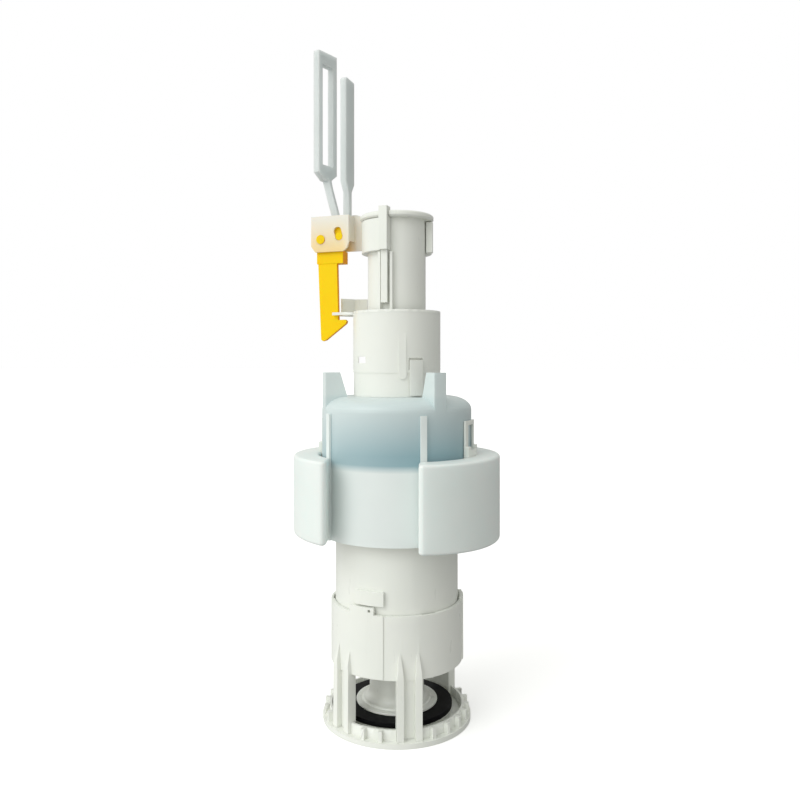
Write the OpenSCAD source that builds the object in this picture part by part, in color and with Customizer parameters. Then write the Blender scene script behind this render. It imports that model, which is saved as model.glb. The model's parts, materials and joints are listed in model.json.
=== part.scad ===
// Dual-flush toilet outlet valve: basket, bayonet housing, floats and lifting tube.
// Millimetres. Origin: centre of the outlet at the base's underside, +Z up, front towards -Y.
// Angles are measured from the front, positive towards +X.

/* [Base and outlet] */
// Radius of the base flange
base_r = 42; // [40:0.5:44]
// Height of the base flange
base_flange_h = 2.7; // [2:0.1:4]
// Outer radius of the toothed wall
base_wall_r = 38.2; // [38:0.1:39]
// Height of the top of the toothed wall
base_wall_top = 8.3; // [7:0.1:9]
// Number of teeth round the wall
tooth_count = 26; // [12:1:36]
// Radius of the bore at the underside
outlet_r = 28.5; // [28:0.1:29]
// Radius of the throat inside the sealing lip
throat_r = 27.5; // [26:0.1:28]
// Height of the sealing lip
seat_top = 6; // [5:0.1:7]

/* [Basket] */
// Outer radius of the collar
collar_r = 37.3; // [37:0.1:38]
// Height of the collar's lower edge
collar_z0 = 33.7; // [30:0.1:36]
// Height of the collar's upper edge
collar_z1 = 67.3; // [64:0.1:69]
// Angle of the legs to each side of the front and of the back
leg_angle = 30; // [25:1:35]
// Width of a leg
leg_w = 13.5; // [10:0.5:16]
// Width of a leg's edge rib
rib_w = 3.6; // [3:0.1:4]
// Radius that the leg ribs reach
rib_r = 39.5; // [38.5:0.1:40]

/* [Housing] */
// Outer radius of the lower tube
tube_r = 34.8; // [34:0.1:34.9]
// Wall of the lower tube
tube_t = 2; // [1.5:0.1:2.5]
// Height of the cup's floor and of the bell's lower edge
cup_z0 = 104.5; // [100:0.5:108]
// Height of the cup's rim
cup_z1 = 144.5; // [130:0.5:150]
// Outer radius of the bell
bell_r = 42.5; // [42:0.1:43]
// Wall of the bell
bell_t = 1.5; // [1:0.1:2]
// Height of the bell's flat top
bell_top = 182; // [178:0.5:184]
// Outer radius of the sleeve's neck on the bell
neck_r = 24.6; // [24:0.1:24.9]
// Height of the step between neck and sleeve
neck_z1 = 195.2; // [192:0.1:197]
// Outer radius of the guide sleeve
sleeve_r = 24.9; // [24.5:0.1:26]
// Height of the sleeve's upper edge
sleeve_z1 = 228.2; // [226:0.1:230]

/* [Half-flush float] */
// Outer radius of the float
float_r = 58.5; // [54:0.5:60]
// Inner radius of the float
float_in_r = 44.3; // [44.3:0.1:46]
// Height of the float's top face
float_z1 = 149.4; // [140:0.1:155]
// Height of the float's bottom on its left wing
float_z0 = 105.7; // [100:0.1:110]
// Angle of the parallel faces that bound the float's opening
gap_angle = 18; // [14:0.5:20]
// Distance from the axis to the opening's left face
gap_left = 35.3; // [33:0.1:36]
// Distance from the axis to the opening's right face
gap_right = 12.8; // [12:0.1:14]

/* [Lifted part] */
// Outer radius of the overflow tube
over_r = 16.5; // [16:0.1:17]
// Bore radius of the overflow tube
over_bore_r = 14.9; // [14:0.1:15.2]
// Height of the overflow mouth
over_top = 284.4; // [270:0.1:290]
// Radius of the mouth's rim
rim_r = 21; // [19:0.1:22]
// Outer radius of the sealing washer
seal_r = 31.5; // [31:0.1:32.5]
// Bore radius of the sealing washer
seal_bore_r = 16; // [15.5:0.1:17]
// Thickness of the sealing washer
seal_t = 2.7; // [2:0.1:3]

/* [Catch and paddles] */
// Across position of the catch's pivot
pivot_x = -43.6; // [-45:0.1:-42]
// Height of the catch's pivot
pivot_z = 272.3; // [270:0.1:274]
// Across position of the follower pin
follower_x = -32.1; // [-34:0.1:-31]
// Height of the follower pin
follower_z = 273.6; // [272:0.1:275]
// Height of the slotted paddle's top
slotted_top = 382; // [360:1:400]
// Height of the solid paddle's top
solid_top = 365; // [350:1:375]

/* [Hidden] */
$fn = 96;
eps = 0.01;
gap = 0.3;                 // clearance between curved faces that move past each other
run_fit = 0.08;            // radial running clearance of guides and pins

white = [0.91, 0.93, 0.90];
milky = [0.80, 0.87, 0.87, 0.75];
frosted = [0.84, 0.87, 0.85, 0.85];
yellow = [0.98, 0.80, 0.05];
black = [0.04, 0.04, 0.05];

collar_in_r = tube_r + gap;
seal_z0 = seat_top + 0.1;
seal_z1 = seal_z0 + seal_t;
bell_in_r = bell_r - bell_t;
cup_r = bell_in_r - gap;
bell_hole_r = 22;
panel_top = 71.6;          // raised parts of the collar's rim
tab_z0 = 72;               // latch tab stands just above them
tab_z1 = 79.7;

// ---- helpers -------------------------------------------------------------------------------

// Puts its children, drawn on the front axis, at the angle a
module at_angle(a) rotate([0, 0, a]) children();

// Flat wedge from angle a0 to a1, out to radius r
module wedge(r, a0, a1) {
  steps = max(1, ceil((a1 - a0) / 30));
  far = r / cos((a1 - a0) / steps / 2);
  polygon(concat([[0, 0]],
    [for (i = [0 : steps]) let (a = a0 + (a1 - a0) * i / steps) [far * sin(a), -far * cos(a)]]));
}

// Ring between two radii and two heights
module ring(r_in, r_out, z0, z1) translate([0, 0, z0]) difference() {
  cylinder(r = r_out, h = z1 - z0);
  translate([0, 0, -1]) cylinder(r = r_in, h = z1 - z0 + 2);
}

// Part of a ring between two angles
module arc_wall(r_in, r_out, z0, z1, a0, a1) intersection() {
  ring(r_in, r_out, z0, z1);
  translate([0, 0, z0 - 1]) linear_extrude(z1 - z0 + 2) wedge(r_out + 5, a0, a1);
}

// Plate of width w in a radial plane on the front axis, from [radius, height] points
module radial_plate(w, points)
  rotate([0, 0, -90]) rotate([90, 0, 0]) translate([0, 0, -w / 2]) linear_extrude(w) polygon(points);

// Box from its low corner to its high corner
module block(low, high) translate(low) cube(high - low);

// Cylinder along Y between two positions
module pin_y(x, z, r, y0, y1)
  translate([x, y1, z]) rotate([90, 0, 0]) cylinder(r = r, h = y1 - y0, $fn = 48);

// Plate between two Y positions from [x, z] points
module plate_y(y0, y1, points)
  translate([0, y1, 0]) rotate([90, 0, 0]) linear_extrude(y1 - y0) polygon(points);

// ---- base and basket -----------------------------------------------------------------------

module base_ring() color(white) {
  tooth_t = 2;
  tooth_r = 41;
  tooth_phase = 7.5;
  wall_in_r = base_wall_r - 1.3;
  difference() {
    union() {
      ring(wall_in_r, base_r, 0, base_flange_h);
      ring(wall_in_r, base_wall_r, base_flange_h - eps, base_wall_top);
      for (i = [0 : tooth_count - 1]) let (a = tooth_phase + i * 360 / tooth_count)
        if (abs(abs(cos(a)) - cos(leg_angle)) > 0.11) at_angle(a) block(
          [-tooth_t / 2, -tooth_r, base_flange_h - eps], [tooth_t / 2, -base_wall_r + 0.4, base_wall_top]);
    }
    for (half_turn = [0, 180]) for (side = [-1, 1]) at_angle(half_turn + side * leg_angle)
      block([-leg_w / 2 - 0.1, -base_r - 1, base_flange_h], [leg_w / 2 + 0.1, -wall_in_r + 2, 20]);
  }
}

module valve_seat() color(white) {
  lip_t = 2;
  floor_h = 3;
  seat_r = base_wall_r - 1.4;
  difference() {
    union() {
      ring(throat_r, seat_r, 0, floor_h);
      ring(throat_r, throat_r + lip_t, floor_h - eps, seat_top);
    }
    translate([0, 0, -1]) cylinder(r = outlet_r, h = floor_h + 1);
    ring(31, 35, -1, 1.8);
  }
}

module outlet_gasket() color(black) ring(31.1, 34.9, 0.1, 1.7);

// One leg: plate and two edge ribs with spear-shaped tips on the collar. Its inside is cut later.
module leg() {
  foot_z = 3;
  tip_z = 48.5;
  shoulder_z = 39;
  rib_z0 = base_flange_h + 0.05;
  half = leg_w / 2;
  intersection() {
    ring(collar_in_r - 1, base_wall_r - 1.5, foot_z, collar_z0 + 4);
    block([-half + 0.4, -collar_r - 1, foot_z - 1], [half - 0.4, 0, collar_z0 + 5]);
  }
  for (side = [-1, 1]) translate([side * (half - rib_w / 2), 0, 0]) intersection() {
    radial_plate(rib_w, [[collar_in_r - 2, foot_z], [base_wall_r - 1.5, foot_z],
      [base_wall_r - 1.5, rib_z0], [rib_r + 0.2, rib_z0],
      [rib_r, shoulder_z], [collar_r - 0.4, tip_z], [collar_in_r - 0.4, tip_z],
      [collar_in_r - 2, collar_z0]]);
    plate_y(-rib_r - 2, 0, [[-rib_w, 0], [rib_w, 0], [rib_w / 2, shoulder_z - 4], [0.35, tip_z + 1],
      [-0.35, tip_z + 1], [-rib_w / 2, shoulder_z - 4]]);
  }
}

module basket() color(white) {
  lug_count = 3;
  panel_r = collar_r + 0.6;
  side_drop = 2.4;
  panel_a0 = -22;
  panel_a1 = 9;
  groove_r = collar_in_r + 1;
  groove_z0 = 59.7;
  groove_z1 = 63.3;
  difference() {
    union() {
      ring(collar_in_r - 1, collar_r, collar_z0, collar_z1);
      for (i = [0 : lug_count - 1]) at_angle(i * 360 / lug_count) difference() {
        arc_wall(collar_in_r + 0.8, panel_r, collar_z0 + 0.4, panel_top - (i == 0 ? gap : side_drop),
          panel_a0, panel_a1);
        arc_wall(collar_in_r - 2, panel_r + 2, collar_z1 + 0.3, panel_top + 1, 1, panel_a1 + 3);
      }
      for (half_turn = [0, 180]) for (side = [-1, 1]) at_angle(half_turn + side * leg_angle) leg();
    }
    translate([0, 0, -1]) cylinder(r = collar_in_r, h = panel_top + 2);
    for (i = [0 : lug_count - 1]) at_angle(i * 360 / lug_count) {
      difference() {
        arc_wall(collar_in_r - 2, groove_r, groove_z0, collar_z1 + 1, 12, 56);
        arc_wall(collar_in_r - 3, groove_r + 2, groove_z1, collar_z1 + 2, 11, 42);
      }
      at_angle(-3) translate([0, -collar_in_r + 1, 69.5]) rotate([90, 0, 0]) cylinder(r = 0.8, h = 6);
    }
  }
}

// ---- housing -------------------------------------------------------------------------------

module outer_tube() color(white) {
  tube_in_r = tube_r - tube_t;
  ring(tube_in_r, tube_r, 38, cup_z0 + 2.2);
  ring(tube_in_r, cup_r, cup_z0 + 0.2, cup_z0 + 2.2);
  ring(cup_r - 1.5, cup_r, cup_z0 + 0.2, cup_z1);
  arc_wall(tube_r - 0.5, tube_r + 2, tab_z0, tab_z1, -17, 9);
  for (i = [0 : 2]) at_angle(i * 120) arc_wall(tube_r - 0.5, tube_r + 0.9, 60, 63, 15, 25);
}

module guide_spider() color(white) {
  hub_in_r = 15.5 + run_fit;
  ring_r = tube_r - tube_t - 0.1;
  z0 = 40;
  z1 = 46;
  ring(hub_in_r, hub_in_r + 2, z0, z1);
  ring(ring_r - 2, ring_r, z0, z1);
  for (i = [0 : 3]) at_angle(45 + i * 90) block([-1, -ring_r + 1, z0], [1, -hub_in_r - 1, z1]);
}

// Outline of the bell's outside, grown inwards by t
function bell_outline(t) = let (r = bell_r - t, top = bell_top - t, round_w = 12.5 - t / 2, round_h = 7.5)
  concat([[r, cup_z0]],
    [for (i = [0 : 8]) let (a = i * 90 / 8)
      [r - round_w + round_w * cos(a), top - round_h + round_h * sin(a)]]);

module bell() color(milky) {
  fin_angle = 49;
  fin_top = 195.5;
  rail_top = 173;
  rotate_extrude() polygon(concat(bell_outline(0), [[bell_hole_r, bell_top],
    [bell_hole_r, bell_top - bell_t]], [for (i = [9 : -1 : 0]) bell_outline(bell_t)[i]]));
  for (side = [-1, 1]) {
    at_angle(side * fin_angle) radial_plate(1.8, [[29.5, bell_top - 1], [34, fin_top],
      [bell_r - 0.1, fin_top], [bell_r - 0.1, 173], [41.3, 173], [39.6, 177.7], [36.5, 179.8]]);
    arc_wall(bell_in_r + 0.1, bell_r, 174, fin_top,
      side > 0 ? fin_angle : -fin_angle - 9, side > 0 ? fin_angle + 9 : -fin_angle);
    arc_wall(bell_r - 0.6, float_in_r - gap, cup_z0, rail_top,
      side > 0 ? 36.5 : -41, side > 0 ? 41 : -36.5);
  }
}

module guide_sleeve() color(white) {
  in_r = sleeve_r - 1.9;
  neck_z0 = bell_top + 0.05;
  tongue_r = sleeve_r + 1.3;
  groove_r = in_r + 0.7;
  groove_z1 = 203.3;
  ridge_half = 2.1;
  ridge_r = sleeve_r + 0.45;
  ridge_z0 = 193.9;
  difference() {
    union() {
      ring(in_r, sleeve_r, neck_z1, sleeve_z1);
      ring(in_r - 0.4, neck_r, neck_z0, neck_z1 + 0.5);
      ring(bell_hole_r - 2, neck_r, neck_z0, neck_z0 + 1.5);
      ring(bell_hole_r - 2, bell_hole_r - 0.2, bell_top - 5, neck_z0 + 1);
      arc_wall(sleeve_r + 0.2, tongue_r, 182.8, 202.2, 36, 53);
      arc_wall(sleeve_r - 0.5, tongue_r, 198, 201, 36, 53);
      at_angle(27) {
        radial_plate(2 * ridge_half, [[sleeve_r - 1, ridge_z0], [ridge_r, ridge_z0], [ridge_r, 208],
          [sleeve_r - 0.15, 219], [sleeve_r - 1, 219]]);
        translate([0, -sleeve_r + 1, ridge_z0]) rotate([90, 0, 0])
          cylinder(r = ridge_half, h = ridge_r - sleeve_r + 1);
      }
    }
    arc_wall(groove_r, sleeve_r + 3, 202.2, groove_z1, 35, 54);
    for (side = [-1, 1]) arc_wall(groove_r, sleeve_r + 3, 196.8, groove_z1,
      side > 0 ? 53 : 35, side > 0 ? 54.5 : 36);
    at_angle(20) {
      block([-21.2, -sleeve_r - 1, 200.6], [-17.2, -6, 204.1]);
      block([-22.6, 2, 200], [-17.8, sleeve_r + 1, 205]);
    }
    block([-sleeve_r - 1, -7.9, 206], [-in_r + 4, -4.4, sleeve_z1 + 1]);
  }
}

module neck_bush() color(white) ring(over_r + run_fit, sleeve_r - 2.5, neck_z1 - 10, neck_z1 - 2);

module catch_fork() color(white) {
  plate_t = 1.6;
  z0 = sleeve_z1 + 0.02;
  wall_top = 238.5;
  difference() {
    union() {
      ring(20.8, sleeve_r, z0, z0 + plate_t);
      translate([0, 0, z0]) linear_extrude(plate_t)
        polygon([[-36.2, -9.6], [-22.5, -9.6], [-22.5, 9], [-31, 9], [-36.2, 2.2]]);
    }
    block([-50, -8.3, z0 - 1], [-27.4, -4.0, z0 + plate_t + 1]);
    translate([0, 0, z0 - 1]) cylinder(r = 20.8, h = plate_t + 2);
  }
  translate([-35, 1, z0]) rotate([0, 0, 52]) block([0, -0.7, 0], [9.6, 0.7, wall_top - z0]);
  translate([-29.3, 8.2, z0]) rotate([0, 0, 14]) block([-0.4, -0.7, 0], [7.4, 0.7, wall_top - z0]);
}

// ---- half-flush float ----------------------------------------------------------------------

module c_float() color(milky) {
  low_z = 99.6;
  slope = 3.1;
  difference() {
    ring(float_in_r, float_r, low_z, float_z1);
    at_angle(gap_angle) block([-gap_left, -float_r - 2, low_z - 1], [gap_right, 0, float_z1 + 1]);
    block([-float_r - 2, -float_r - 2, low_z - 2], [0, float_r + 2, float_z0]);
    translate([0, 0, float_z0]) rotate([0, slope, 0])
      block([-2, -float_r - 2, -12], [float_r + 6, float_r + 2, 0]);
    for (side = [-1, 1]) arc_wall(float_in_r - 1, float_in_r + 1.8, 145.7, float_z1 + 1,
      side * 90 - 13, side * 90 + 13);
  }
}

module float_latches() color(white) {
  half = 12;
  for (side = [-1, 1]) difference() {
    union() {
      arc_wall(bell_r + gap, float_in_r - 0.3, 146, 169, side * 90 - half, side * 90 + half);
      arc_wall(bell_r + gap, float_in_r + 1.5, 146, 155, side * 90 - half, side * 90 + half);
    }
    arc_wall(bell_r - 1, float_r, 153, 166.5, side * 90 - half + 5, side * 90 + half - 5);
  }
}

// ---- lifted part ---------------------------------------------------------------------------

module overflow_tube() color(white) {
  z0 = 52;
  socket_z1 = 63;
  notch_half = 2.7;
  difference() {
    union() {
      ring(over_bore_r, over_r, socket_z1, over_top);
      ring(over_bore_r + 0.5, over_r, z0, socket_z1 + eps);
      rotate_extrude() polygon([[over_r - 0.5, over_top - 3.5], [rim_r - 1, over_top - 3.3],
        [rim_r, over_top - 2.4], [rim_r, over_top - 0.8], [rim_r - 0.8, over_top], [over_r - 0.5, over_top]]);
      ring(over_r - 0.5, over_r + 2, 108, 111.8);
      for (side = [-1, 1]) at_angle(side * 10.5) block([-0.8, -19.5, 206], [0.8, -over_r + 0.5, 262]);
    }
    block([-notch_half, -rim_r - 1, over_top - 8], [notch_half, -over_r - 0.3, over_top + 1]);
  }
}

module plunger() color(white) {
  stem_r = 15.5;
  bore_r = 13.2;
  disc_r = 23;
  rotate_extrude() polygon([[bore_r, 3.2], [seal_bore_r - 0.1, 3.2], [seal_bore_r - 0.1, seal_z1],
    [disc_r, seal_z1], [disc_r, seal_z1 + 1.2], [19.6, seal_z1 + 1.2], [19.2, seal_z1 + 2.2],
    [17.6, seal_z1 + 2.6], [16.2, seal_z1 + 4.2], [stem_r, seal_z1 + 7], [stem_r, 46], [15.2, 46],
    [15.2, 54], [14.4, 54], [14.4, 56], [15.2, 56], [15.2, 62], [bore_r, 62]]);
}

module valve_seal() color(black) ring(seal_bore_r, seal_r, seal_z0, seal_z1);

module seal_clamp() color(white) difference() {
  ring(seal_bore_r, 22, 3.4, seal_z0);
  for (i = [0 : 5]) at_angle(i * 60) block([-1.5, -23, 2.4], [1.5, -20, 5]);
}

module stem_o_ring() color(black) translate([0, 0, 55]) rotate_extrude()
  translate([14.88, 0]) circle(r = 0.45, $fn = 24);

module inner_float() color(white) ring(over_r + 0.1, 38, 112, 141);

module float_clip() color(white) ring(over_r + 0.05, 21, 141.1, 144);

module lift_clip() color(white) {
  band_in_r = over_r + 0.1;
  band_r = 20;
  band_z0 = 262.8;
  band_z1 = 280.7;
  key_half = 2.4;
  key_r = 22.8;
  arc_wall(band_in_r, band_r, band_z0, band_z1, -256, 3);
  arc_wall(band_in_r + 0.5, band_r + 0.7, band_z0 + 0.5, band_z1 - 0.2, 96, 108);
  block([-key_half, -key_r, band_z0], [key_half, -band_in_r - 0.3, band_z1]);
  block([-key_half, -key_r, band_z1 - eps], [key_half, -over_r - 0.5, 286.6]);
  block([-1.8, -band_r - 0.6, 233.8], [1.8, -band_in_r - 0.3, band_z0 + eps]);
}

// Turn of the follower pin about the catch's pivot at rest, and their distance
follower_turn = atan2(follower_z - pivot_z, follower_x - pivot_x);
follower_arm = norm([follower_x - pivot_x, follower_z - pivot_z]);

// Point at the angle a on a circle of radius r, carried round the pivot to the given turn
function on_swing(turn, r, a) = [pivot_x + follower_arm * cos(turn) + r * cos(turn + a),
  pivot_z + follower_arm * sin(turn) + r * sin(turn + a)];

module lift_bracket() color(frosted) {
  x0 = -49.7;
  x1 = -26;
  z0 = 265;
  z1 = 285.7;
  corner = 3.5;
  front = -9.5;
  back = 1.5;
  wall = 1.6;
  arm_x1 = -21.25;
  arm_low_x1 = -20.1;
  rim_z0 = over_top - 4;
  arm_top = 287;
  slot_half = 2.4;
  slot_swing = 16;
  difference() {
    union() {
      plate_y(front, front + wall, [[x0, z1], [x0, z0 + corner], [x0 + 2.5, z0], [x1 - 3.5, z0],
        [x1 - 1, z0 + 2], [x1, z0 + corner + 2], [x1, z1]]);
      plate_y(back - wall, back, [[x0, z1], [x0, z0 + corner], [x0 + 3, z0 + 1],
        [arm_low_x1, z0 + 1], [arm_low_x1, rim_z0], [arm_x1, rim_z0], [arm_x1, arm_top - 4], [arm_x1 - 0.7, arm_top - 2], [arm_x1 - 2, arm_top - 0.6],
        [arm_x1 - 4, arm_top], [x1 - 1.5, arm_top], [x1 - 2.5, z1]]);
      block([x0, front + wall / 2, z0 + corner], [x0 + wall, back - wall / 2, z1 - 0.01]);
      block([x1 - 1.4, front + wall / 2, z0 + corner + 2.5], [x1 - 0.01, back - wall / 2, z1 - 0.01]);
    }
    pin_y(pivot_x, pivot_z, 2.6 + 0.05, front - 1, back + 1);
    plate_y(front - 1, front + wall + 0.2, concat(
      [for (a = [0 : 15 : 180]) on_swing(follower_turn + slot_swing, slot_half, a)],
      [for (a = [180 : 15 : 360]) on_swing(follower_turn, slot_half, a)]));
  }
}

module solid_paddle() color(frosted) {
  x0 = -31.2;
  x1 = -27.4 - 0.02;
  stem_z0 = 282;
  neck_z = 299.6;
  shoulder_z = 305;
  y0 = -9.7;
  y1 = 2.7;
  translate([x0, 0, 0]) rotate([90, 0, 90]) linear_extrude(x1 - x0) polygon([[-5.7, stem_z0],
    [-1.3, stem_z0], [-1.3, neck_z], [y1, shoulder_z], [y1, solid_top - 0.6], [y1 - 0.6, solid_top],
    [y0 + 1, solid_top], [y0, solid_top - 1], [y0, shoulder_z], [-5.7, neck_z]]);
}

module pivot_pin() color(yellow) pin_y(pivot_x, pivot_z, 2.6, -10, 1.9);

// ---- catch and half-flush pull -------------------------------------------------------------

module hook_lever() color(yellow) {
  web_y0 = -7.6;
  web_y1 = -4.4;
  blade_y0 = -7.4;
  blade_y1 = -4.9;
  difference() {
    union() {
      plate_y(web_y0, web_y1, [[-46.9, 264], [-30.3, 264], [-30.3, 277.6],
        [-31.8, 279.2], [-36, 279.2], [-37.5, 276.4], [-46.9, 276.4]]);
      plate_y(web_y0, -0.5, [[-46.9, 258.3], [-30.3, 258.3], [-30.3, 265.4], [-46.9, 265.4]]);
      plate_y(blade_y0, blade_y1, [[-46.2, 259], [-34.2, 259], [-33.4, 225.6], [-29, 225.7],
        [-28.1, 224.8], [-28.5, 223.4], [-41.3, 213.9], [-43.1, 213.4], [-44.3, 214.2]]);
    }
    pin_y(pivot_x, pivot_z, 2.6 + run_fit, web_y0 - 1, web_y1 + 1);
    pin_y(follower_x, follower_z, 2.2 + 0.03, web_y0 - 1, web_y1 + 1);
  }
}

module follower_pin() color(yellow) pin_y(follower_x, follower_z, 2.2, -9.4, -0.6);

module slotted_paddle() color(frosted) {
  y0 = -3.9;
  y1 = -0.5;
  blade_x = -43.4;
  blade_y = -3.5;
  blade_w = 15.9;
  blade_t = 4.2;
  slot_w = 9;
  slot_z0 = 316.2;
  slot_z1 = 374.5;
  shoulder_z = 311.5;
  neck_z = 307.3;
  difference() {
    union() {
      pin_y(follower_x, follower_z, 3.6, y0, y1);
      plate_y(y0, y1, [[follower_x - 3.2, follower_z - 1], [follower_x + 1.5, follower_z + 3],
        [-34.9, 286], [-39.6, 303], [-40.9, 309], [-45.4, 309], [-44.2, 304], [-39.2, 286]]);
    }
    pin_y(follower_x, follower_z, 2.55, y0 - 1, y1 + 1);
  }
  translate([blade_x, blade_y, 0]) rotate([0, 0, 73.5 + 180]) rotate([90, 0, 0])
    translate([0, 0, -blade_t / 2]) linear_extrude(blade_t) difference() {
      polygon([[-blade_w / 2, shoulder_z], [-2.3, neck_z], [2.3, neck_z], [blade_w / 2, shoulder_z],
        [blade_w / 2, slotted_top], [-blade_w / 2, slotted_top]]);
      translate([-slot_w / 2, slot_z0]) square([slot_w, slot_z1 - slot_z0]);
    }
}

base_ring();
valve_seat();
outlet_gasket();
basket();
outer_tube();
guide_spider();
bell();
guide_sleeve();
neck_bush();
catch_fork();
c_float();
float_latches();
overflow_tube();
plunger();
valve_seal();
seal_clamp();
stem_o_ring();
inner_float();
float_clip();
lift_clip();
lift_bracket();
solid_paddle();
pivot_pin();
hook_lever();
follower_pin();
slotted_paddle();
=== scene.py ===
"""Dual-flush toilet valve: looks, fine pieces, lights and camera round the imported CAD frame. Metres."""
import json
import math

import bmesh
import bpy
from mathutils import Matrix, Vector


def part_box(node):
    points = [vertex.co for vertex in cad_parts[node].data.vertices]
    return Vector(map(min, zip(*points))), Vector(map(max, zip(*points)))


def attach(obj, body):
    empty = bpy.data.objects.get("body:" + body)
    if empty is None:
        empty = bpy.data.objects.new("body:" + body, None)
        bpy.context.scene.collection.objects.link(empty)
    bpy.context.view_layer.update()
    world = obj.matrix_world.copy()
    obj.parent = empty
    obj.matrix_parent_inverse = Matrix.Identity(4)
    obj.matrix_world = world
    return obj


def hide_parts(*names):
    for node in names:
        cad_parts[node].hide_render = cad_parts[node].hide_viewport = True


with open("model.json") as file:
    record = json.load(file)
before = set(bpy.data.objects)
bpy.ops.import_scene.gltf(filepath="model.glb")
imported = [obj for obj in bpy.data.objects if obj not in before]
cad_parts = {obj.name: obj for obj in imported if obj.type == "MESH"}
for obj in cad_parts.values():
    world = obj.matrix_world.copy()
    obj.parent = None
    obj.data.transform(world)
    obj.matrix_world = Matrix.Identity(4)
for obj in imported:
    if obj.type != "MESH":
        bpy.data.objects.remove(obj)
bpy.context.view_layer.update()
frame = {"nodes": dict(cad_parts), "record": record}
NODES = frame["nodes"]
MM = 0.001


# ---- camera --------------------------------------------------------------------------------

CAMERA_DISTANCE = 0.442
CAMERA_HEIGHT = 0.1995
CAMERA_TURN = math.radians(20)
FOCAL_SHARE = 0.965                # focal length as a share of the picture's width
SENSOR_WIDTH = 36.0
LENS_SHIFT = (0.004, -0.0437)      # as shares of the picture's width
NEAR_CLIP = 0.01


def make_camera():
    """A level camera in front of the valve, turned a little to its right."""
    data = bpy.data.cameras.new("camera")
    data.sensor_width = SENSOR_WIDTH
    data.lens = FOCAL_SHARE * SENSOR_WIDTH
    data.shift_x, data.shift_y = LENS_SHIFT
    data.clip_start = NEAR_CLIP
    camera = bpy.data.objects.new("camera", data)
    camera.location = (
        CAMERA_DISTANCE * math.sin(CAMERA_TURN),
        -CAMERA_DISTANCE * math.cos(CAMERA_TURN),
        CAMERA_HEIGHT,
    )
    camera.rotation_euler = (math.pi / 2, 0, CAMERA_TURN)
    bpy.context.scene.collection.objects.link(camera)
    bpy.context.scene.camera = camera


# ---- node material helpers -----------------------------------------------------------------

class Shader:
    """A Principled material that is put together one node at a time."""

    def __init__(self, name):
        self.material = bpy.data.materials.new(name)
        self.material.use_nodes = True
        self.tree = self.material.node_tree
        self.bsdf = self.tree.nodes["Principled BSDF"]
        self.place = self.add("ShaderNodeTexCoord").outputs["Object"]

    def add(self, kind, **values):
        node = self.tree.nodes.new(kind)
        for key, value in values.items():
            setattr(node, key, value)
        return node

    def link(self, source, target):
        self.tree.links.new(source, target)

    def set(self, **values):
        """Sets the shader's own sockets, with _ for a space in their names."""
        for key, value in values.items():
            self.bsdf.inputs[key.replace("_", " ")].default_value = value

    def noise(self, scale, detail=3.0, roughness=0.5, stretch=(1, 1, 1)):
        """Noise over the object's own coordinates, scale in features per metre."""
        mapping = self.add("ShaderNodeMapping")
        mapping.inputs["Scale"].default_value = stretch
        self.link(self.place, mapping.inputs["Vector"])
        node = self.add("ShaderNodeTexNoise")
        node.inputs["Scale"].default_value = scale
        node.inputs["Detail"].default_value = detail
        node.inputs["Roughness"].default_value = roughness
        self.link(mapping.outputs["Vector"], node.inputs["Vector"])
        return node.outputs["Fac"]

    def spread(self, source, low, high, start=0.3, end=0.7):
        """Maps source from start..end to low..high."""
        node = self.add("ShaderNodeMapRange")
        node.inputs["From Min"].default_value = start
        node.inputs["From Max"].default_value = end
        node.inputs["To Min"].default_value = low
        node.inputs["To Max"].default_value = high
        self.link(source, node.inputs["Value"])
        return node.outputs["Result"]

    def two_colours(self, source, first, second, start=0.3, end=0.7):
        """A colour that runs from first to second as source goes from start to end."""
        node = self.add("ShaderNodeValToRGB")
        node.color_ramp.elements[0].position = start
        node.color_ramp.elements[0].color = (*first, 1)
        node.color_ramp.elements[1].position = end
        node.color_ramp.elements[1].color = (*second, 1)
        self.link(source, node.inputs["Fac"])
        return node.outputs["Color"]

    def bumps(self, layers):
        """Stacks (height source, strength, distance in metres) as bump."""
        below = None
        for source, strength, distance in layers:
            node = self.add("ShaderNodeBump")
            node.inputs["Strength"].default_value = strength
            node.inputs["Distance"].default_value = distance
            self.link(source, node.inputs["Height"])
            if below is not None:
                self.link(below, node.inputs["Normal"])
            below = node.outputs["Normal"]
        self.link(below, self.bsdf.inputs["Normal"])


BLUSH_SCALE = 40                   # features per metre of the colour drift
ROUGH_BELOW = 0.05
ROUGH_ABOVE = 0.06
SINK_HEIGHT = 0.00006


def moulded(name, light, deep, rough, grain=2600, grain_height=0.00002, **sockets):
    """Injection-moulded plastic: a faint colour drift, uneven gloss and a very fine surface grain."""
    shader = Shader(name)
    drift = shader.noise(BLUSH_SCALE, detail=2.0)
    shader.link(shader.two_colours(drift, light, deep), shader.bsdf.inputs["Base Color"])
    flow = shader.noise(BLUSH_SCALE * 6, detail=4.0, stretch=(1, 1, 0.25))
    gloss = shader.spread(flow, rough - ROUGH_BELOW, rough + ROUGH_ABOVE)
    shader.link(gloss, shader.bsdf.inputs["Roughness"])
    shader.bumps([
        (shader.noise(BLUSH_SCALE * 2, detail=1.0), 0.12, SINK_HEIGHT),
        (shader.noise(grain, detail=2.0), 0.3, grain_height),
    ])
    shader.set(**sockets)
    return shader


def tint(shader, amount, colour):
    """Lays colour over the shader's base colour wherever amount is near 1."""
    below = shader.bsdf.inputs["Base Color"].links[0].from_socket
    mix = shader.add("ShaderNodeMix", data_type="RGBA", clamp_factor=True)
    shader.link(amount, mix.inputs["Factor"])
    shader.link(below, mix.inputs["A"])
    mix.inputs["B"].default_value = (*colour, 1)
    shader.link(mix.outputs["Result"], shader.bsdf.inputs["Base Color"])


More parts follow.
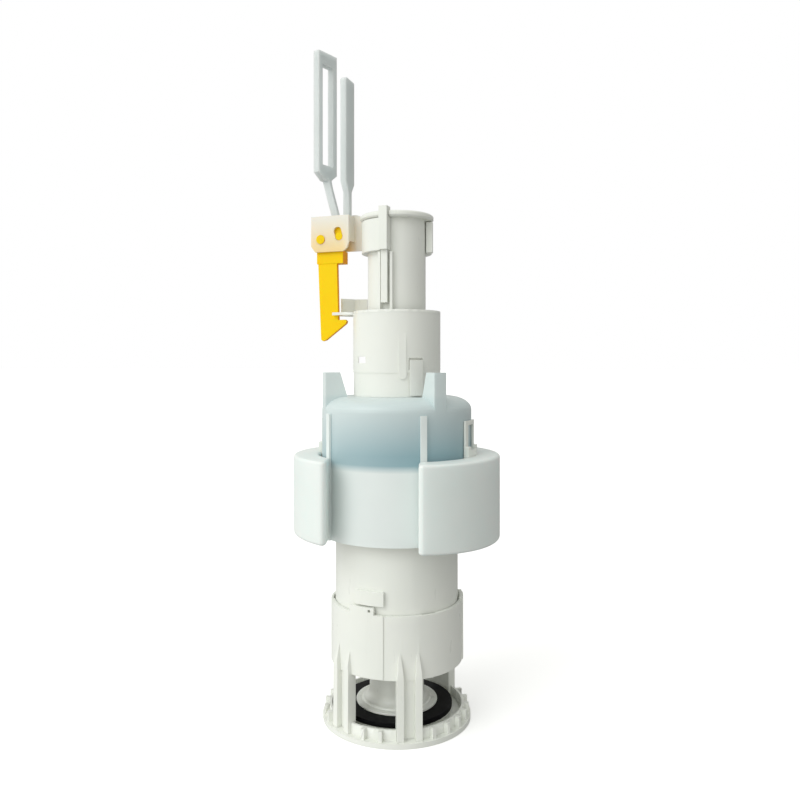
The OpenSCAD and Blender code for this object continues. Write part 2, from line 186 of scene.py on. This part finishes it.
def product(shader, first, second):
    """first times second, held within 0 to 1; second is an output or a plain number."""
    node = shader.add("ShaderNodeMath", operation="MULTIPLY", use_clamp=True)
    shader.link(first, node.inputs[0])
    if isinstance(second, (int, float)):
        node.inputs[1].default_value = second
    else:
        shader.link(second, node.inputs[1])
    return node.outputs["Value"]


def along(shader, direction):
    """The object coordinate along direction, in metres."""
    node = shader.add("ShaderNodeVectorMath", operation="DOT_PRODUCT")
    shader.link(shader.place, node.inputs[0])
    node.inputs[1].default_value = direction
    return node.outputs["Value"]


def off_axis(shader):
    """Distance from the valve's axis, in metres."""
    flat = shader.add("ShaderNodeVectorMath", operation="MULTIPLY")
    shader.link(shader.place, flat.inputs[0])
    flat.inputs[1].default_value = (1, 1, 0)
    size = shader.add("ShaderNodeVectorMath", operation="LENGTH")
    shader.link(flat.outputs["Vector"], size.inputs[0])
    return size.outputs["Value"]


CHAMBER_START = (0.1430, 0.1470)   # heights over which the air chamber's shade sets in
CHAMBER_PALES = (0.152, 0.181)     # heights over which it pales
CHAMBER_LEAST = 0.22
CHAMBER_TINT = (0.28, 0.43, 0.48)
WALL_RADII = (0.04265, 0.0430)     # from the bell's wall, which is tinted, to its rails, which are not
SHADE_WAY = (0.75, -0.66, 0)       # the side of the bell where the shade is full
SHADE_RUN = (-0.03, 0.04)
SHADE_LEAST = 0.55
DOME_START = (0.1735, 0.1775)
DOME_END = (0.1815, 0.1835)
DOME_SHARE = 0.55
DOME_TINT = (0.60, 0.70, 0.71)


def milky_bell():
    """Milky plastic over a white cup below and an air chamber above, whose shade shows through."""
    shader = moulded("milky bell plastic", (0.80, 0.86, 0.85), (0.78, 0.84, 0.83), 0.34,
                     IOR=1.48, Subsurface_Weight=0.15, Subsurface_Radius=(0.006, 0.007, 0.007),
                     Subsurface_Scale=1.0)
    height = along(shader, (0, 0, 1))
    chamber_start = shader.spread(height, 0, 1, *CHAMBER_START)
    chamber = product(shader, chamber_start, shader.spread(height, 1, CHAMBER_LEAST, *CHAMBER_PALES))
    on_wall = shader.spread(off_axis(shader), 1, 0, *WALL_RADII)
    side = shader.spread(along(shader, SHADE_WAY), SHADE_LEAST, 1, *SHADE_RUN)
    tint(shader, product(shader, product(shader, chamber, on_wall), side), CHAMBER_TINT)
    dome_start = shader.spread(height, 0, 1, *DOME_START)
    dome = product(shader, dome_start, shader.spread(height, 1, 0, *DOME_END))
    tint(shader, product(shader, dome, DOME_SHARE), DOME_TINT)
    return shader


# painted bounce light: where the yellow catch would throw warm light onto the bracket
YELLOW_BOUNCE_HEIGHTS = (0.266, 0.284)
YELLOW_BOUNCE_REACH = (-0.030, -0.0245)     # the painted bounce light ends over this stretch of x
YELLOW_BOUNCE_LIGHT = (0.98, 0.70, 0.34)


def bracket_with_painted_bounce():
    """Frosted plastic with painted light: a warm tint low down and round the yellow catch stands for
    yellow light bounced off the catch.
    """
    shader = moulded("bracket plastic", (0.88, 0.83, 0.74), (0.86, 0.81, 0.72), 0.42,
                     IOR=1.48, Subsurface_Weight=0.25, Subsurface_Radius=(0.006, 0.004, 0.003),
                     Subsurface_Scale=1.0)
    low = shader.spread(along(shader, (0, 0, 1)), 1, 0, *YELLOW_BOUNCE_HEIGHTS)
    near = shader.spread(along(shader, (1, 0, 0)), 1, 0, *YELLOW_BOUNCE_REACH)
    # painted light: the warm bounce from the yellow catch, laid into the base colour
    tint(shader, product(shader, low, near), YELLOW_BOUNCE_LIGHT)
    return shader


YELLOW_SHADE_WAY = (0.8, 0.1, -0.6)        # faces turned this way get the most painted shade
YELLOW_SHADE_RUN = (0.3, 0.75)
YELLOW_SHADE_SHARE = 0.8
YELLOW_SHADE_TINT = (0.93, 0.30, 0.001)


def yellow_plastic():
    """Saturated yellow with painted shade: it deepens to orange on the faces turned right or down."""
    shader = moulded("yellow plastic", (1.0, 0.67, 0.001), (1.0, 0.63, 0.001), 0.38,
                     IOR=1.45, Specular_IOR_Level=0.18, Subsurface_Weight=0.25,
                     Subsurface_Radius=(0.004, 0.0015, 0.0001), Subsurface_Scale=1.0)
    # painted shade: orange laid on by which way a face turns, standing in for the sides away from the
    # light
    facing = shader.add("ShaderNodeVectorMath", operation="DOT_PRODUCT")
    shader.link(shader.place.node.outputs["Normal"], facing.inputs[0])
    facing.inputs[1].default_value = YELLOW_SHADE_WAY
    tint(shader, shader.spread(facing.outputs["Value"], 0, YELLOW_SHADE_SHARE, *YELLOW_SHADE_RUN), YELLOW_SHADE_TINT)
    return shader


def make_materials():
    """One material for each of the record's slots, and one for the bracket."""
    soft = {"IOR": 1.48, "Subsurface_Scale": 1.0}
    shaders = {
        "white_plastic": moulded(
            "white plastic", (0.85, 0.86, 0.81), (0.82, 0.84, 0.79), 0.32,
            Subsurface_Weight=0.12, Subsurface_Radius=(0.004, 0.004, 0.0035), **soft),
        "milky_bell": milky_bell(),
        "float_plastic": moulded(
            "float plastic", (0.84, 0.89, 0.87), (0.81, 0.87, 0.85), 0.42, grain_height=0.00003,
            Subsurface_Weight=0.3, Subsurface_Radius=(0.008, 0.010, 0.010), **soft),
        "frosted_plastic": moulded(
            "frosted plastic", (0.68, 0.72, 0.72), (0.65, 0.69, 0.69), 0.45,
            Subsurface_Weight=0.9, Subsurface_Radius=(0.006, 0.006, 0.006), **soft),
        "yellow_plastic": yellow_plastic(),
        "black_rubber": moulded(
            "black rubber", (0.003, 0.003, 0.004), (0.006, 0.006, 0.007), 0.55,
            grain=1800, grain_height=0.00004, IOR=1.4, Specular_IOR_Level=0.12),
        "bracket": bracket_with_painted_bounce(),
    }
    return {name: shader.material for name, shader in shaders.items()}


# ---- stage and lights ----------------------------------------------------------------------

FLOOR_SIDE = 60
FLOOR_GREY = (0.9, 0.9, 0.9, 1)
FLOOR_GLOW = 0.35
WHITE = (1, 1, 1, 1)
WALL_COLOUR = (0.985, 0.99, 0.955, 1)
WORLD_WAY = (-0.66, -0.58, 0.48)   # the bright side of the studio
WORLD_EDGE = 0.9
WORLD_DIM = 0.38
WORLD_BRIGHT = 0.93
KEY_ENERGY = 1.15
KEY_WIDTH = math.radians(45)
KEY_COLOUR = (0.97, 1.0, 0.98)
KEY_TURN = (math.radians(55), 0, math.radians(-28))


def make_stage():
    """A pale floor that runs on into the white background, with a soft contact shadow."""
    bpy.ops.mesh.primitive_plane_add(size=FLOOR_SIDE, location=(0, 0, 0))
    floor = bpy.context.object
    floor.name = "floor"
    floor.visible_diffuse = False
    floor.visible_glossy = False
    material = bpy.data.materials.new("floor paint")
    material.use_nodes = True
    paint = material.node_tree.nodes["Principled BSDF"]
    paint.inputs["Base Color"].default_value = FLOOR_GREY
    paint.inputs["Specular IOR Level"].default_value = 0
    paint.inputs["Emission Color"].default_value = WHITE
    paint.inputs["Emission Strength"].default_value = FLOOR_GLOW
    floor.data.materials.append(material)


def make_world():
    """A white studio, brighter on the valve's left, in front of a plain white backdrop."""
    world = bpy.data.worlds.new("studio")
    bpy.context.scene.world = world
    world.use_nodes = True
    tree = world.node_tree
    walls = tree.nodes["Background"]
    walls.inputs["Color"].default_value = WALL_COLOUR
    way = tree.nodes.new("ShaderNodeTexCoord")
    facing = tree.nodes.new("ShaderNodeVectorMath")
    facing.operation = "DOT_PRODUCT"
    facing.inputs[1].default_value = WORLD_WAY
    tree.links.new(way.outputs["Generated"], facing.inputs[0])
    level = tree.nodes.new("ShaderNodeMapRange")
    level.inputs["From Min"].default_value = -WORLD_EDGE
    level.inputs["From Max"].default_value = WORLD_EDGE
    level.inputs["To Min"].default_value = WORLD_DIM
    level.inputs["To Max"].default_value = WORLD_BRIGHT
    tree.links.new(facing.outputs["Value"], level.inputs["Value"])
    tree.links.new(level.outputs["Result"], walls.inputs["Strength"])
    backdrop = tree.nodes.new("ShaderNodeBackground")
    backdrop.inputs["Color"].default_value = WHITE
    path = tree.nodes.new("ShaderNodeLightPath")
    mix = tree.nodes.new("ShaderNodeMixShader")
    tree.links.new(path.outputs["Is Camera Ray"], mix.inputs["Fac"])
    tree.links.new(walls.outputs["Background"], mix.inputs[1])
    tree.links.new(backdrop.outputs["Background"], mix.inputs[2])
    tree.links.new(mix.outputs["Shader"], tree.nodes["World Output"].inputs["Surface"])


def make_key():
    """A broad soft key from the front left."""
    key = bpy.data.lights.new("key", "SUN")
    key.energy = KEY_ENERGY
    key.angle = KEY_WIDTH
    key.color = KEY_COLOUR
    lamp = bpy.data.objects.new("key", key)
    lamp.rotation_euler = KEY_TURN
    bpy.context.scene.collection.objects.link(lamp)


# ---- CAD nodes -----------------------------------------------------------------------------

EDGE_ROUND = {
    "plunger": 0.4, "catch_fork": 0.2, "valve_seal": 0.35, "overflow_tube": 0.45,
    "solid_paddle": 0.5, "slotted_paddle": 0.5, "hook_lever": 0.4, "lift_bracket": 0.35,
    "lift_clip": 0.4, "basket": 0.9, "base_ring": 0.3,
}
USUAL_ROUND = 0.25
ROUND_STEPS = 2
ROUND_FROM = math.radians(38)      # edges that turn by less stay as they are
WELD_REACH = 0.00001
KEPT_SHARP = ("bell", "guide_sleeve")      # their own normals shade long curved walls better


def shade_evenly(piece):
    """Lets the large faces decide how the small ones beside them are shaded."""
    shade = piece.modifiers.new("shade", "WEIGHTED_NORMAL")
    shade.mode = "FACE_AREA_WITH_ANGLE"
    shade.weight = 60


def soften(node, width):
    """Rounds a CAD node's edges by width in mm with modifiers; its own vertices stay as they are."""
    bpy.context.view_layer.objects.active = node
    if node.data.has_custom_normals:
        bpy.ops.mesh.customdata_custom_splitnormals_clear()
    for face in node.data.polygons:
        face.use_smooth = True
    for edge in node.data.edges:
        edge.use_edge_sharp = False
    weld = node.modifiers.new("weld", "WELD")
    weld.merge_threshold = WELD_REACH
    bevel = node.modifiers.new("edges", "BEVEL")
    bevel.width = width * MM
    bevel.segments = ROUND_STEPS
    bevel.limit_method = "ANGLE"
    bevel.angle_limit = ROUND_FROM
    bevel.use_clamp_overlap = True
    shade_evenly(node)


def finish_cad_nodes(materials):
    """Gives every CAD node its slot's material, the lift bracket the bracket's own; all but those kept
    sharp also get soft edges and smooth shading.
    """
    slots = {s["node"]: s["material_slot"] for s in frame["record"]["subparts"]}
    for name, node in NODES.items():
        node.data.materials.clear()
        finish = "bracket" if name == "lift_bracket" else slots[name]
        node.data.materials.append(materials[finish])
        if name not in KEPT_SHARP:
            soften(node, EDGE_ROUND.get(name, USUAL_ROUND))


# ---- pieces built here ---------------------------------------------------------------------

def arc_points(centre, radius, start, end, count):
    """count + 1 points along an arc, both ends included."""
    turns = [start + (end - start) * i / count for i in range(count + 1)]
    return [(centre[0] + radius * math.cos(turn), centre[1] + radius * math.sin(turn)) for turn in turns]


def stacked_mesh(name, rings, material):
    """A closed mesh through rings of equal length, capped at its first and last ring."""
    shell = bmesh.new()
    rows = [[shell.verts.new(p) for p in ring] for ring in rings]
    for lower, upper in zip(rows, rows[1:]):
        for i in range(len(lower)):
            j = (i + 1) % len(lower)
            shell.faces.new((lower[i], lower[j], upper[j], upper[i]))
    shell.faces.new(rows[0][::-1])
    shell.faces.new(rows[-1])
    bmesh.ops.recalc_face_normals(shell, faces=shell.faces)
    bmesh.ops.triangulate(shell, faces=[f for f in shell.faces if len(f.verts) > 4])
    mesh = bpy.data.meshes.new(name)
    shell.to_mesh(mesh)
    shell.free()
    mesh.materials.append(material)
    mesh.polygons.foreach_set("use_smooth", [True] * len(mesh.polygons))
    piece = bpy.data.objects.new(name, mesh)
    bpy.context.scene.collection.objects.link(piece)
    shade_evenly(piece)
    return piece


# the float's measures in mm, with the gap of the C before it is turned
FLOAT_GAP_LEFT = 35.3
FLOAT_GAP_RIGHT = 12.8
FLOAT_GAP_TURN = math.radians(18)
FLOAT_SLOPE = math.tan(math.radians(3.1))
FLOAT_INNER_R = 44.3
FLOAT_BOTTOM = 105.7
FLOAT_CORNER = 2.2
FLOAT_EDGE = 1.5
FLOAT_EDGE_TURNS = [math.radians(turn) for turn in (0, 22.5, 45, 67.5, 90)]
INNER_STEPS = 56
OUTER_STEPS = 64
INNER_CORNER_STEPS = 6
OUTER_CORNER_STEPS = 8


def float_half(outer, inner, gap, corner):
    """One wing of the C, from the back of its inner face round its end to the back of its outer face."""
    centre_x = gap + corner
    far_y = -math.sqrt((outer - corner) ** 2 - centre_x ** 2)
    near_y = -math.sqrt((inner + corner) ** 2 - centre_x ** 2)
    far_turn = math.atan2(far_y, centre_x)
    near_turn = math.atan2(near_y, centre_x)
    points = arc_points((0, 0), inner, math.pi / 2, near_turn, INNER_STEPS)
    points += arc_points((centre_x, near_y), corner, near_turn + math.pi, math.pi, INNER_CORNER_STEPS)[1:]
    points += arc_points((centre_x, far_y), corner, -math.pi, far_turn, OUTER_CORNER_STEPS)
    return points + arc_points((0, 0), outer, far_turn, math.pi / 2, OUTER_STEPS)[1:]


def float_outline(outer_r, inset):
    """The C-shaped float seen from above, shrunk by inset: [x, y] points round it in mm."""
    outer, inner, corner = outer_r - inset, FLOAT_INNER_R + inset, FLOAT_CORNER - inset
    right = float_half(outer, inner, FLOAT_GAP_RIGHT + inset, corner)
    left = float_half(outer, inner, FLOAT_GAP_LEFT + inset, corner)
    points = right + [(-x, y) for x, y in reversed(left)][1:-1]
    turn_cos, turn_sin = math.cos(FLOAT_GAP_TURN), math.sin(FLOAT_GAP_TURN)
    return [(x * turn_cos - y * turn_sin, x * turn_sin + y * turn_cos) for x, y in points]


def float_ring(outer_r, turn, height):
    """One level of the float in metres, turn round its edge; height(x, rise) gives z in mm."""
    inset = FLOAT_EDGE * (1 - math.sin(turn))
    rise = FLOAT_EDGE * (1 - math.cos(turn))
    return [(x * MM, y * MM, height(x, rise) * MM) for x, y in float_outline(outer_r, inset)]


def make_float(material):
    """The moulded float with rounded ends and edges; its right wing deepens outwards."""
    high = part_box("c_float")[1]
    outer_r, top = high[0] / MM, high[2] / MM

    def under(x, rise):
        return FLOAT_BOTTOM - max(x, 0) * FLOAT_SLOPE + rise

    def over(x, rise):
        return top - rise

    rings = [float_ring(outer_r, turn, under) for turn in FLOAT_EDGE_TURNS]
    rings += [float_ring(outer_r, turn, over) for turn in reversed(FLOAT_EDGE_TURNS)]
    piece = stacked_mesh("float_body", rings, material)
    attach(piece, "half_flush_float")
    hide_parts("c_float")


def main():
    make_camera()
    materials = make_materials()
    make_stage()
    make_world()
    make_key()
    bpy.context.scene.view_settings.view_transform = "Standard"
    finish_cad_nodes(materials)
    make_float(materials["float_plastic"])


main()
